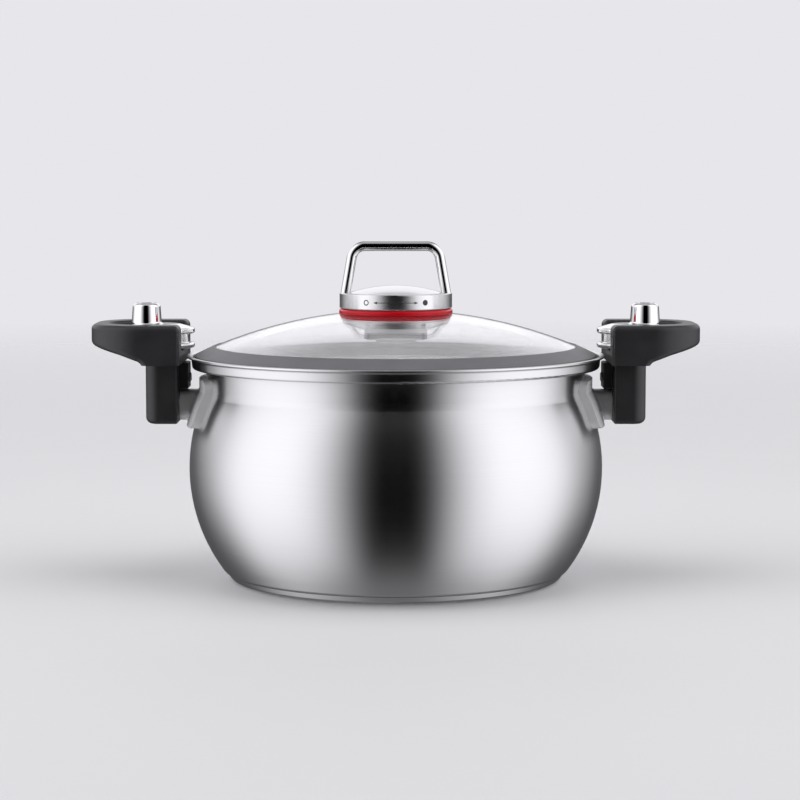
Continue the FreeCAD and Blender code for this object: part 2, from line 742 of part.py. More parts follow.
def make_lid_glass():
    """Tempered dome with a centre hole and a flat rim flange."""
    under = DOME_RADIUS - GLASS_THICK
    flange_low = FLANGE_TOP_Z - FLANGE_THICK
    under_edge = DOME_EDGE_R - 1.5
    path = [
        Vector(DOME_EDGE_R, 0, dome_z(DOME_EDGE_R)),
        Vector(FLANGE_START_R, 0, FLANGE_TOP_Z),
        Vector(FLANGE_R, 0, FLANGE_TOP_Z),
        Vector(FLANGE_R, 0, flange_low),
        Vector(FLANGE_START_R - 2, 0, flange_low),
        Vector(under_edge, 0, dome_z(under_edge, under)),
    ]
    edges = [dome_edge(DOME_RADIUS, LID_HOLE_R, DOME_EDGE_R)]
    for i in range(len(path) - 1):
        edges.append(Part.LineSegment(path[i], path[i + 1]).toShape())
    edges.append(dome_edge(under, under_edge, LID_HOLE_R))
    hole = [Vector(LID_HOLE_R, 0, dome_z(LID_HOLE_R, under)), Vector(LID_HOLE_R, 0, dome_z(LID_HOLE_R))]
    edges.append(Part.LineSegment(*hole).toShape())
    glass = Part.Face(Part.Wire(edges)).revolve(Vector(0, 0, 0), Vector(0, 0, 1), 360)
    rims = [e for e in glass.Edges if is_circle_through(e, path[2]) or is_circle_through(e, path[3])]
    return glass.makeFillet(1.4, rims)


def make_lid_seal(glass):
    """Silicone ring moulded round the glass rim, with a wiper lip inside the pot's neck."""
    neck_in = NECK_R - WALL
    seat = LEDGE_Z + WALL + 0.4
    ring = turned([
        (SEAL_INNER_R, SEAL_INNER_Z, 0.6),
        (SEAL_OUTER_R, SEAL_OUTER_Z, 1.0),
        (SEAL_OUTER_R, seat, 0.8),
        (neck_in - 0.4, seat),
        (neck_in - 0.4, 125.8, 0.5),
        (neck_in - 1.9, 125.8, 0.5),
        (neck_in - 3.3, 129.8, 2.0),
        (SEAL_INNER_R, 132.6, 0.4),
    ])
    return ring.cut(glass)


def make_knob_grommet(glass):
    """Red silicone ring that grips the edge of the glass hole."""
    ring = turned([
        (GROMMET_BORE_R, GROMMET_TOP_Z),
        (GROMMET_R, GROMMET_TOP_Z, 1.6),
        (GROMMET_R, dome_z(GROMMET_R), 0.8),
        (GROMMET_R - 2, dome_z(GROMMET_R) - 1),
        (GROMMET_R - 2, CONE_TOP_Z),
        (GROMMET_BORE_R, CONE_TOP_Z),
    ])
    return ring.cut(glass)


CONE_TOP_Z = dome_z(LID_HOLE_R, DOME_RADIUS - GLASS_THICK) - 2.0
CONE_LOW_Z = CONE_TOP_Z - 4.6


def make_clamp_cone():
    """Dished steel washer under the glass."""
    return turned([
        (GROMMET_BORE_R, CONE_TOP_Z),
        (GROMMET_R - 2, CONE_TOP_Z),
        (GROMMET_R - 2, CONE_TOP_Z - 1.0, 0.4),
        (20.8, CONE_LOW_Z),
        (GROMMET_BORE_R, CONE_LOW_Z),
    ])


def make_clamp_nut():
    """Round nut with spanner notches that clamps the knob to the glass."""
    nut = turned([
        (GROMMET_BORE_R, CONE_LOW_Z),
        (18.9, CONE_LOW_Z),
        (18.9, CONE_LOW_Z - 6.2, 1.0),
        (GROMMET_BORE_R, CONE_LOW_Z - 6.2),
    ])
    for i in range(6):
        notch = box(17.2, 20, -1.6, 1.6, CONE_LOW_Z - 7, CONE_LOW_Z - 2)
        notch.rotate(Vector(0, 0, 0), Vector(0, 0, 1), 60 * i + 30)
        nut = nut.cut(notch)
    return nut


def make_vent_body():
    """Threaded tube through the lid with the valve seat, the dial's bearing and four steam holes."""
    body = turned([
        (BORE_R, VENT_LOW_Z),
        (VENT_TUBE_R, VENT_LOW_Z, 0.8),
        (VENT_TUBE_R, GROMMET_TOP_Z),
        (VENT_FLANGE_R, GROMMET_TOP_Z),
        (VENT_FLANGE_R, VENT_FLANGE_TOP_Z, 0.5),
        (HUB_R, VENT_FLANGE_TOP_Z),
        (HUB_R, HUB_TOP_Z - 0.9),
        (HUB_R - 1.0, HUB_TOP_Z - 0.9),
        (HUB_R - 1.0, HUB_TOP_Z),
        (CHAMBER_R, HUB_TOP_Z),
        (CHAMBER_R, SEAT_HIGH_Z),
        (BORE_R, SEAT_LOW_Z),
    ])
    for i in range(4):
        turn = math.radians(45 + 90 * i)
        outward = Vector(math.cos(turn), math.sin(turn), 0)
        middle = Vector(0, 0, VENT_FLANGE_TOP_Z + 1.2)
        body = body.cut(rod(0.9, middle + outward * (CHAMBER_R - 1), middle + outward * (HUB_R + 1)))
    return body


def make_retaining_ring():
    """Split ring at the top of the hub that keeps the dial on."""
    ring = turned([
        (HUB_R - 1.0, HUB_TOP_Z - 0.9),
        (HUB_R + 1.6, HUB_TOP_Z - 0.9),
        (HUB_R + 1.6, HUB_TOP_Z),
        (HUB_R - 1.0, HUB_TOP_Z),
    ])
    return ring.cut(box(0, HUB_R + 3, -1.2, 1.2, HUB_TOP_Z - 2, HUB_TOP_Z + 1))


# ---- dial ---------------------------------------------------------------------------------------

def bail_wire(radius):
    """Upright loop of round bar: two leaning legs, two bends and a straight top."""
    lean = Vector(BAIL_SHOULDER_X - BAIL_FOOT_X, 0, BAIL_TOP_Z - DIAL_TOP_Z)
    foot = Vector(BAIL_FOOT_X, 0, DIAL_TOP_Z) - lean * ((DIAL_TOP_Z - BAIL_FOOT_Z) / lean.z)
    corner = Vector(BAIL_SHOULDER_X, 0, BAIL_TOP_Z)
    opposite = Vector(-BAIL_SHOULDER_X, 0, BAIL_TOP_Z)
    start, middle, end = corner_arc(foot, corner, opposite, BAIL_CORNER)

    def flipped(point):
        return Vector(-point.x, point.y, point.z)

    edges = [
        Part.LineSegment(foot, start).toShape(),
        Part.Arc(start, middle, end).toShape(),
        Part.LineSegment(end, flipped(end)).toShape(),
        Part.Arc(flipped(end), flipped(middle), flipped(start)).toShape(),
        Part.LineSegment(flipped(start), flipped(foot)).toShape(),
    ]
    section = Part.Wire(Part.makeCircle(radius, foot, lean))
    return Part.Wire(edges).makePipeShell([section], True, True)


BAIL_SCREW_X = 29.8


def bail_screw(side):
    """Screw up through the dial's web into one leg of the bail."""
    x = side * BAIL_SCREW_X
    shank = rod(1.1, Vector(x, 0, DIAL_WEB_LOW_Z), Vector(x, 0, DIAL_TOP_Z + 1))
    head = rod(1.9, Vector(x, 0, DIAL_WEB_LOW_Z - 1.5), Vector(x, 0, DIAL_WEB_LOW_Z))
    return join(shank, head)


def mark_solids(depth_in, depth_out):
    """Turn marks on the front of the dial: open ring, arrow line and filled bar."""
    sleeve = Part.makeCylinder(DIAL_R + depth_out, 12, Vector(0, 0, DIAL_LOW_Z))
    sleeve = sleeve.cut(Part.makeCylinder(DIAL_R - depth_in, 12, Vector(0, 0, DIAL_LOW_Z)))
    line = box(-11.5, 11.5, -40, -25, MARK_Z - 0.18, MARK_Z + 0.18)
    pieces = [line.common(sleeve)]
    for side in (-1, 1):
        tip = side * 13.2
        tail = side * 11.0
        head = Part.makePolygon([
            Vector(tip, -40, MARK_Z),
            Vector(tail, -40, MARK_Z + 0.8),
            Vector(tail, -40, MARK_Z - 0.8),
            Vector(tip, -40, MARK_Z),
        ])
        pieces[0] = pieces[0].fuse(Part.Face(head).extrude(Vector(0, 15, 0)).common(sleeve))
    ring = rod(1.7, Vector(0, -40, MARK_Z), Vector(0, -25, MARK_Z))
    ring = ring.cut(rod(1.1, Vector(0, -41, MARK_Z), Vector(0, -24, MARK_Z)))
    ring.rotate(Vector(0, 0, 0), Vector(0, 0, 1), -MARK_ANGLE)
    pieces.append(ring.common(sleeve))
    bar = rod(1.7, Vector(0, -40, MARK_Z), Vector(0, -25, MARK_Z))
    bar.rotate(Vector(0, 0, 0), Vector(0, 0, 1), MARK_ANGLE)
    pieces.append(bar.common(sleeve))
    return Part.makeCompound([solid for piece in pieces for solid in piece.Solids])


def make_dial_ring(bail):
    """Satin dial body: skirt, web that turns on the hub, and top rim with sockets for the bail."""
    ring = turned([
        (HUB_R + 0.08, DIAL_WEB_LOW_Z),
        (DIAL_WALL_R, DIAL_WEB_LOW_Z),
        (DIAL_WALL_R, DIAL_LOW_Z),
        (DIAL_R, DIAL_LOW_Z, 0.4),
        (DIAL_R, DIAL_TOP_Z, 0.6),
        (DIAL_SEAT_R, DIAL_TOP_Z, 0.3),
        (DIAL_SEAT_R, DIAL_WEB_TOP_Z),
        (HUB_R + 0.08, DIAL_WEB_TOP_Z),
    ])
    ring = ring.cut(bail)
    for side in (-1, 1):
        ring = ring.cut(bail_screw(side))
    return ring.cut(mark_solids(MARK_DEPTH, 1.0))


def make_dial_cap(bail):
    """Polished shallow dome let into the top of the dial."""
    rise = CAP_APEX_Z - DIAL_TOP_Z
    dome_r = (DIAL_SEAT_R ** 2 + rise ** 2) / (2 * rise)
    centre_z = CAP_APEX_Z - dome_r
    inner_r = dome_r - CAP_WALL
    rim_in = DIAL_SEAT_R - CAP_WALL

    def surface(r, radius):
        return Vector(r, 0, centre_z + math.sqrt(radius ** 2 - r ** 2))

    rim_out = DIAL_SEAT_R
    edges = [
        Part.Arc(surface(0, dome_r), surface(rim_out / 2, dome_r), surface(rim_out, dome_r)).toShape(),
        Part.LineSegment(surface(rim_out, dome_r), Vector(rim_out, 0, DIAL_WEB_TOP_Z)).toShape(),
        Part.LineSegment(Vector(rim_out, 0, DIAL_WEB_TOP_Z), Vector(rim_in, 0, DIAL_WEB_TOP_Z)).toShape(),
        Part.LineSegment(Vector(rim_in, 0, DIAL_WEB_TOP_Z), surface(rim_in, inner_r)).toShape(),
        Part.Arc(surface(rim_in, inner_r), surface(rim_in / 2, inner_r), surface(0, inner_r)).toShape(),
        Part.LineSegment(surface(0, inner_r), surface(0, dome_r)).toShape(),
    ]
    cap = Part.Face(Part.Wire(edges)).revolve(Vector(0, 0, 0), Vector(0, 0, 1), 360)
    return cap.cut(bail)


# ---- valve --------------------------------------------------------------------------------------

TIP_LOW_Z = SEAT_LOW_Z + STEM_LIFT + 0.3
STEM_COLLAR_Z = SEAT_HIGH_Z + STEM_LIFT + 1.0


def make_valve_tip():
    """Silicone cone that closes on the seat."""
    return turned([
        (0, TIP_LOW_Z),
        (2.6, TIP_LOW_Z, 0.4),
        (5.4, TIP_LOW_Z + 2.8, 0.4),
        (5.4, STEM_COLLAR_Z),
        (0, STEM_COLLAR_Z),
    ])


def make_valve_stem():
    """Steel stem with a collar for the spring."""
    return turned([
        (0, STEM_COLLAR_Z),
        (5.6, STEM_COLLAR_Z),
        (5.6, STEM_COLLAR_Z + 1.4, 0.3),
        (2.0, STEM_COLLAR_Z + 1.4),
        (2.0, HUB_TOP_Z + 1.6, 0.5),
        (0, HUB_TOP_Z + 1.6),
    ])


def make_valve_spring():
    """Spring between the stem's collar and the dial cap."""
    return coil(3.9, 0.5, STEM_COLLAR_Z + 1.4, CAP_APEX_Z - CAP_WALL - 0.4, 3)


# ---- files --------------------------------------------------------------------------------------

def main():
    os.makedirs("parts", exist_ok=True)
    pot = filled_pot()
    write("pot_shell", make_pot_shell())
    write("base_cap", make_base_cap())
    write("base_core", make_base_core())
    plate = make_bracket_plate(pot)
    write_pair("bracket_plate", plate)
    write_pair("bracket_stub", make_bracket_stub(pot, plate))
    write_pair("bracket_nut", make_bracket_nut())
    write_pair("handle_screw", make_handle_screw())
    write_pair("grip_screws", make_grip_screws())
    write_pair("handle_post", make_handle_post())
    write_pair("handle_grip", make_handle_grip())
    write_pair("inner_cover", make_inner_cover())
    write_pair("inner_cover_screw", make_inner_cover_screw())
    write_pair("latch_guides", make_latch_guides())
    write_pair("guide_screws", make_guide_screws())
    write_pair("detent_ball", make_detent_ball())
    write_pair("detent_spring", make_detent_spring())
    write_pair("latch_foot", make_latch_foot())
    write_pair("latch_cap", make_latch_cap())
    write_pair("latch_screw", make_latch_screw())
    glass = make_lid_glass()
    write("lid_glass", glass)
    write("lid_seal", make_lid_seal(glass))
    write("knob_grommet", make_knob_grommet(glass))
    write("clamp_cone", make_clamp_cone())
    write("clamp_nut", make_clamp_nut())
    write("vent_body", make_vent_body())
    write("retaining_ring", make_retaining_ring())
    bail = bail_wire(BAIL_WIRE_R)
    screws = Part.makeCompound([bail_screw(side) for side in (-1, 1)])
    write("bail", bail.cut(screws))
    write("bail_screws", screws)
    write("dial_ring", make_dial_ring(bail))
    write("dial_cap", make_dial_cap(bail))
    write("turn_marks", mark_solids(MARK_DEPTH, MARK_PROUD))
    write("valve_tip", make_valve_tip())
    write("valve_stem", make_valve_stem())
    write("valve_spring", make_valve_spring())


main()
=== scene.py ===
import json
import math

import bpy
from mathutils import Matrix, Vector, noise
from mathutils.bvhtree import BVHTree


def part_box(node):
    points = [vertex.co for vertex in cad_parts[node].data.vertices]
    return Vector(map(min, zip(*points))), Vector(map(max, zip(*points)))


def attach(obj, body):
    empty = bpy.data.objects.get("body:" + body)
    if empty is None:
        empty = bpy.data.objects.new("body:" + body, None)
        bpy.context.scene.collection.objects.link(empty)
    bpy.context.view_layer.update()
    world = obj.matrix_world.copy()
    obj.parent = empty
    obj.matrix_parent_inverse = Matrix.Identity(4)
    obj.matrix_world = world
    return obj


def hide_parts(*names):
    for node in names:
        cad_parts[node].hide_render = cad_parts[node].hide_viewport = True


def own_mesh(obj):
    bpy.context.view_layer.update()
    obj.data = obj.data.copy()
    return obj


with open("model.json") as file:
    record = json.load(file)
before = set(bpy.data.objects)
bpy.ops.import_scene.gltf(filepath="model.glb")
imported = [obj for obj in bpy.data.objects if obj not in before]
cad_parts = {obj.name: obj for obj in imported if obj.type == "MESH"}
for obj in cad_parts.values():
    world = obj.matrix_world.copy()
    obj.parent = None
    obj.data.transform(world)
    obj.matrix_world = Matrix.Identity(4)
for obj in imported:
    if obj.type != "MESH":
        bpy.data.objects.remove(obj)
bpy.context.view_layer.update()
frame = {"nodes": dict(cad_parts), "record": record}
NODES = frame["nodes"]
SIDES = (("left", -1), ("right", 1))
MM = 0.001


def new_object(name, data):
    """New object in the scene."""
    thing = bpy.data.objects.new(name, data)
    bpy.context.scene.collection.objects.link(thing)
    return thing


# ---- node helpers ---------------------------------------------------------------------------------

# Part of a noise's range over which blend() moves from its first colour to its second.
BLEND_SPAN = (0.3, 0.7)


class Nodes:
    """A node tree being built, and short ways to add to it."""

    def __init__(self, tree):
        self.nodes = tree.nodes
        self.links = tree.links

    def node(self, kind, **settings):
        """New node with its properties set."""
        node = self.nodes.new(kind)
        for key, value in settings.items():
            setattr(node, key, value)
        return node

    def put(self, value, target):
        """Set an input to a number, or link another node's output to it."""
        if isinstance(value, (int, float)):
            target.default_value = value
        else:
            self.links.new(value, target)

    def math(self, operation, a, b=None, clamp=False):
        """Math node on two outputs or numbers."""
        node = self.node("ShaderNodeMath", operation=operation, use_clamp=clamp)
        self.put(a, node.inputs[0])
        if b is not None:
            self.put(b, node.inputs[1])
        return node.outputs[0]

    def add(self, total, *others):
        """Sum of outputs or numbers."""
        for other in others:
            total = self.math("ADD", total, other)
        return total

    def length(self, a, b):
        """Length of the flat vector (a, b)."""
        squares = self.add(self.math("MULTIPLY", a, a), self.math("MULTIPLY", b, b))
        return self.math("SQRT", squares)

    def split(self, vector):
        """The three parts of a vector, as separate outputs."""
        node = self.node("ShaderNodeSeparateXYZ")
        self.put(vector, node.inputs[0])
        return node.outputs

    def combine(self, x, y, z):
        """Vector from three outputs or numbers."""
        node = self.node("ShaderNodeCombineXYZ")
        for value, target in zip((x, y, z), node.inputs):
            self.put(value, target)
        return node.outputs[0]

    def spread(self, value, low, high, from_low=0.0, from_high=1.0):
        """The value moved from one range to another."""
        node = self.node("ShaderNodeMapRange")
        self.put(value, node.inputs["Value"])
        self.put(from_low, node.inputs["From Min"])
        self.put(from_high, node.inputs["From Max"])
        self.put(low, node.inputs["To Min"])
        self.put(high, node.inputs["To Max"])
        return node.outputs["Result"]

    def step(self, value, low, high):
        """Smooth rise from 0 to 1 between two values."""
        node = self.node("ShaderNodeMapRange", interpolation_type="SMOOTHSTEP")
        self.put(value, node.inputs["Value"])
        self.put(low, node.inputs["From Min"])
        self.put(high, node.inputs["From Max"])
        return node.outputs["Result"]

    def towards(self, value, target, share):
        """The value moved towards a fixed one by a share."""
        kept = self.math("MULTIPLY", value, self.math("SUBTRACT", 1.0, share))
        return self.add(kept, self.math("MULTIPLY", share, target))

    def curve(self, value, points):
        """Height over the value, read from (place, height) points through a float curve."""
        low = points[0][0]
        span = points[-1][0] - low
        top = max(height for _, height in points)
        node = self.node("ShaderNodeFloatCurve")
        line = node.mapping.curves[0].points
        while len(line) < len(points):
            line.new(0.5, 0.5)
        for point, (spot, height) in zip(line, points):
            point.location = ((spot - low) / span, height / top)
        node.mapping.update()
        self.put(self.math("DIVIDE", self.math("SUBTRACT", value, low), span), node.inputs["Value"])
        return self.math("MULTIPLY", node.outputs[0], top)


class Shader(Nodes):
    """A material being built round its Principled shader."""

    def __init__(self, name, **sockets):
        self.material = bpy.data.materials.new(name)
        self.material.use_nodes = True
        super().__init__(self.material.node_tree)
        self.surface = self.nodes["Principled BSDF"]
        for socket, value in sockets.items():
            self.surface.inputs[socket.replace("_", " ")].default_value = value

    def feed(self, output, socket):
        """Link a node's output to one of the shader's sockets."""
        self.links.new(output, self.surface.inputs[socket])

    def place(self):
        """Object coordinates, in metres."""
        return self.node("ShaderNodeTexCoord").outputs["Object"]

    def noise(self, scale, detail=3.0, roughness=0.55, vector=None, fourth=None):
        """Noise from 0 to 1 over the place or a vector, and over a fourth coordinate if given."""
        node = self.node("ShaderNodeTexNoise")
        if fourth is not None:
            node.noise_dimensions = "4D"
            self.put(fourth, node.inputs["W"])
        self.put(self.place() if vector is None else vector, node.inputs["Vector"])
        self.put(scale, node.inputs["Scale"])
        self.put(detail, node.inputs["Detail"])
        self.put(roughness, node.inputs["Roughness"])
        return node.outputs["Fac"]

    def blend(self, value, first, second):
        """Colour that goes from the first to the second as the value rises."""
        node = self.node("ShaderNodeValToRGB")
        self.put(value, node.inputs["Fac"])
        for stop, position, colour in zip(node.color_ramp.elements, BLEND_SPAN, (first, second)):
            stop.position = position
            stop.color = colour
        return node.outputs["Color"]

    def bump(self, height, strength, distance):
        """Bump from a height."""
        node = self.node("ShaderNodeBump")
        self.put(strength, node.inputs["Strength"])
        self.put(distance, node.inputs["Distance"])
        self.put(height, node.inputs["Height"])
        self.feed(node.outputs["Normal"], "Normal")


def grey(value):
    """Opaque grey."""
    return (value, value, value, 1.0)


def turned_noise(shader, across, around):
    """Noise drawn out into rings about the Z axis: fine across them, slow around them."""
    x, y, z = shader.split(shader.place())
    angle = shader.math("ARCTAN2", y, x)
    vector = shader.combine(
        shader.math("MULTIPLY", shader.length(x, y), across),
        shader.math("MULTIPLY", z, across),
        shader.math("MULTIPLY", shader.math("SINE", angle), around),
    )
    fourth = shader.math("MULTIPLY", shader.math("COSINE", angle), around)
    return shader.noise(scale=1.0, detail=4.0, roughness=0.65, vector=vector, fourth=fourth)


# ---- materials ------------------------------------------------------------------------------------

# How far a metal's tone strays from its mean to either side.
TONE_STRAY = 0.02
# Height over which the lid's milky share gives way to clear glass, and how much light passes at each end.
# The milky share is painted brightness that stands in for the lit inside of the pot seen through the
# glass.
PAINTED_BRIGHTNESS_LOW_Z = 136 * MM
PAINTED_BRIGHTNESS_HIGH_Z = 152 * MM
PAINTED_BRIGHTNESS_CLEARNESS = 0.7
GLASS_CLEARNESS = 0.985


def turned_steel(name, tone, rough, stretch, lines_depth, lines_scale=1700.0):
    """Steel brushed in rings about Z, with slow changes of sheen and a few handling marks."""
    s = Shader(name, Metallic=1.0, Anisotropic=stretch, Anisotropic_Rotation=0.25)
    tangent = s.node("ShaderNodeTangent", direction_type="RADIAL", axis="Z")
    s.feed(tangent.outputs[0], "Tangent")
    lines = turned_noise(s, across=lines_scale, around=1.5)
    cloud = s.noise(scale=11.0)
    marks = s.noise(scale=260.0, detail=2.0)
    shade = s.add(s.math("MULTIPLY", lines, 0.6), s.math("MULTIPLY", cloud, 0.4))
    s.feed(s.blend(shade, grey(tone - TONE_STRAY), grey(tone + TONE_STRAY)), "Base Color")
    brushing = s.spread(lines, low=rough - 0.03, high=rough + 0.03)
    sheen = s.spread(cloud, low=-0.015, high=0.015)
    handling = s.spread(marks, low=0.0, high=0.03, from_low=0.64, from_high=0.8)
    s.feed(s.add(brushing, sheen, handling), "Roughness")
    s.bump(lines, strength=lines_depth, distance=0.03 * MM)
    return s.material


def polished_metal(name, tone, rough):
    """Polished metal with faint wipe marks."""
    s = Shader(name, Metallic=1.0)
    wipes = s.noise(scale=90.0, detail=4.0, roughness=0.65)
    specks = s.noise(scale=1500.0, detail=2.0)
    s.feed(s.blend(wipes, grey(tone - TONE_STRAY), grey(tone + TONE_STRAY)), "Base Color")
    wiped = s.spread(wipes, low=rough - 0.015, high=rough + 0.02)
    s.feed(s.add(wiped, s.spread(specks, low=0.0, high=0.01)), "Roughness")
    s.bump(wipes, strength=0.015, distance=0.1 * MM)
    return s.material


def blasted_steel():
    """Bead-blasted steel: an even pale grey with a broad soft sheen."""
    s = Shader("steel_blasted", Metallic=0.55)
    pits = s.noise(scale=3200.0, roughness=0.6)
    cloud = s.noise(scale=70.0)
    s.feed(s.blend(cloud, grey(0.8), grey(0.86)), "Base Color")
    s.feed(s.add(s.spread(pits, low=0.5, high=0.6), s.spread(cloud, low=-0.02, high=0.02)), "Roughness")
    s.bump(pits, strength=0.1, distance=0.08 * MM)
    return s.material


def bakelite():
    """Moulded black phenolic: fine grain, and places rubbed slightly paler."""
    s = Shader("bakelite_black", Metallic=0.0, Specular_IOR_Level=0.45, IOR=1.5)
    grain = s.noise(scale=2600.0, roughness=0.6)
    cloud = s.noise(scale=60.0)
    s.feed(s.blend(cloud, (0.02, 0.02, 0.021, 1), (0.029, 0.029, 0.031, 1)), "Base Color")
    s.feed(s.add(s.spread(grain, low=0.34, high=0.46), s.spread(cloud, low=-0.03, high=0.03)), "Roughness")
    s.bump(grain, strength=0.12, distance=0.12 * MM)
    return s.material


def silicone(name, dark, pale, rough, gloss, gloss_tint):
    """Moulded silicone with a soft, slightly clouded skin."""
    s = Shader(name, Metallic=0.0, Specular_IOR_Level=gloss, Specular_Tint=gloss_tint,
               Subsurface_Weight=0.06, Subsurface_Radius=(1 * MM, 1 * MM, 1 * MM))
    cloud = s.noise(scale=45.0)
    skin = s.noise(scale=1800.0)
    s.feed(s.blend(cloud, dark, pale), "Base Color")
    grain = s.spread(skin, low=rough - 0.05, high=rough + 0.06)
    s.feed(s.add(grain, s.spread(cloud, low=-0.03, high=0.03)), "Roughness")
    s.bump(skin, strength=0.08, distance=0.1 * MM)
    return s.material


def clear_glass():
    """Clear tempered glass with the faintest smear, and a milky share above the seal: painted brightness
    standing in for the lit inside of the pot.
    """
    s = Shader("glass_clear", Metallic=0.0, Roughness=0.0, IOR=1.5)
    smear = s.noise(scale=25.0)
    height = s.split(s.place())[2]
    # Low on the dome the glass lets less light through and shows its pale base colour: painted brightness
    # standing in for the lit inside of the pot.
    clearness = s.spread(height, PAINTED_BRIGHTNESS_CLEARNESS, GLASS_CLEARNESS, PAINTED_BRIGHTNESS_LOW_Z, PAINTED_BRIGHTNESS_HIGH_Z)
    s.feed(clearness, "Transmission Weight")
    s.feed(s.blend(smear, (0.978, 0.982, 0.984, 1), (0.99, 0.993, 0.994, 1)), "Base Color")
    s.feed(s.spread(smear, low=0.0, high=0.015, from_low=0.45, from_high=0.9), "Roughness")
    return s.material


def nylon():
    """Pale moulded nylon, slightly translucent."""
    s = Shader("nylon_pale", Metallic=0.0,
               Subsurface_Weight=0.25, Subsurface_Radius=(2 * MM, 2 * MM, 2 * MM))
    cloud = s.noise(scale=70.0)
    skin = s.noise(scale=1500.0)
    s.feed(s.blend(cloud, (0.84, 0.84, 0.86, 1), (0.89, 0.89, 0.9, 1)), "Base Color")
    s.feed(s.spread(skin, low=0.38, high=0.5), "Roughness")
    s.bump(skin, strength=0.06, distance=0.1 * MM)
    return s.material


def ink():
    """Printed dark grey ink."""
    s = Shader("mark_ink_grey", Metallic=0.0)
    speckle = s.noise(scale=3000.0, detail=2.0)
    s.feed(s.blend(speckle, grey(0.04), grey(0.07)), "Base Color")
    s.feed(s.spread(speckle, low=0.4, high=0.55), "Roughness")
    return s.material


# The material of each slot.
MATERIALS = {
    "satin_steel": turned_steel("steel_satin", tone=0.7, rough=0.29, stretch=0.88, lines_depth=0.1),
    "base_aluminium": turned_steel("aluminium_plain", tone=0.72, rough=0.38, stretch=0.3, lines_depth=0.2),
    "bracket_steel": blasted_steel(),
    "fastener_steel": polished_metal("steel_fastener", tone=0.62, rough=0.22),
    "spring_steel": polished_metal("steel_spring", tone=0.5, rough=0.25),
    "latch_chrome": polished_metal("chrome_latch", tone=0.86, rough=0.07),
    "dial_steel": turned_steel(
        "steel_dial", tone=0.72, rough=0.26, stretch=0.7, lines_depth=0.12, lines_scale=3600.0),
    "polished_steel": polished_metal("steel_polished", tone=0.78, rough=0.12),
    "black_bakelite": bakelite(),
    "clear_glass": clear_glass(),
    "grey_silicone": silicone(
        "silicone_grey", dark=(0.15, 0.15, 0.157, 1), pale=(0.175, 0.175, 0.182, 1),
        rough=0.5, gloss=0.4, gloss_tint=grey(1.0)),
    "red_silicone": silicone(
        "silicone_red", dark=(0.6, 0.005, 0.012, 1), pale=(0.7, 0.01, 0.02, 1),
        rough=0.25, gloss=0.9, gloss_tint=(1.0, 0.2, 0.24, 1)),
    "pale_nylon": nylon(),
    "mark_ink": ink(),
}


def dress_cad_nodes():
    """Give every CAD node the material of its slot."""
    for row in frame["record"]["subparts"]:
        mesh = NODES[row["node"]].data
        mesh.materials.clear()
        mesh.materials.append(MATERIALS[row["material_slot"]])


# ---- welds ----------------------------------------------------------------------------------------

STUB_CORNER = 7.0 * MM
WELD_RADIUS = 0.7 * MM
WELD_ROUNDNESS = 3
# Points along the weld and to one ripple, the ripple's share of the radius, and how fine
# the waver laid over the ripples is.
WELD_POINTS = 132
WELD_RIPPLE_POINTS = 4
WELD_RIPPLE = 0.16
WELD_WAVERS_PER_METRE = 400.0


def round_box_point(share, half_width, low, high, corner):
    """Point (y, z) at a share of the way round a rectangle with round corners."""
    inner = half_width - corner
    middle = (low + high) / 2
    rise = (high - low) / 2 - corner
    arc = math.pi / 2 * corner
    sides = ((inner, rise), (-inner, rise), (-inner, -rise), (inner, -rise))
    straights = (2 * inner, 2 * rise, 2 * inner, 2 * rise)
    left = share * (4 * arc + sum(straights))
    for i, (y, z) in enumerate(sides):
        start = i * math.pi / 2
        if left <= arc:
            angle = start + left / corner
            return y + corner * math.cos(angle), middle + z + corner * math.sin(angle)
        left -= arc
        if left <= straights[i]:
            end = start + math.pi / 2
            y += corner * math.cos(end) + left * math.cos(end + math.pi / 2)
            z += corner * math.sin(end) + left * math.sin(end + math.pi / 2)
            return y, middle + z
        left -= straights[i]
    return sides[0][0] + corner, middle + sides[0][1]


def surface_tree(node):
    """Search tree over a node's faces, in world coordinates."""
    piece = NODES[node]
    mesh = piece.data
    points = [piece.matrix_world @ vertex.co for vertex in mesh.vertices]
    return BVHTree.FromPolygons(points, [tuple(face.vertices) for face in mesh.polygons])


def add_weld(side, way):
    """Rippled fillet weld where the bracket's stub meets its saddle plate."""
    tree = surface_tree("bracket_plate_" + side)
    low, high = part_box("bracket_stub_" + side)
    half_width = (high.y - low.y) / 2
    outside = max(abs(low.x), abs(high.x))
    data = bpy.data.curves.new("weld_" + side, "CURVE")
    data.dimensions = "3D"
    data.bevel_depth = WELD_RADIUS
    data.bevel_resolution = WELD_ROUNDNESS
    spline = data.splines.new("POLY")
    spline.points.add(WELD_POINTS - 1)
    spline.use_cyclic_u = True
    for i, point in enumerate(spline.points):
        y, z = round_box_point(i / WELD_POINTS, half_width, low.z, high.z, STUB_CORNER)
        hit = tree.ray_cast(Vector((way * outside, y, z)), Vector((-way, 0, 0)))[0]
        point.co = (hit.x, y, z, 1.0)
        ripple = math.cos(2 * math.pi * i / WELD_RIPPLE_POINTS)
        waver = noise.noise(Vector((y, z, way)) * WELD_WAVERS_PER_METRE)
        point.radius = 1.0 + WELD_RIPPLE * (ripple + waver)
    data.materials.append(MATERIALS["bracket_steel"])
    weld = new_object("weld_" + side, data)
    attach(weld, "pot")


# ---- valve spring ---------------------------------------------------------------------------------

SPRING_WIRE_RADIUS = 0.5 * MM
SPRING_TURNS = 3
# Cross-sections to one turn of the wire, and corners to one cross-section.
SPRING_STEPS = 36
SPRING_SIDES = 10


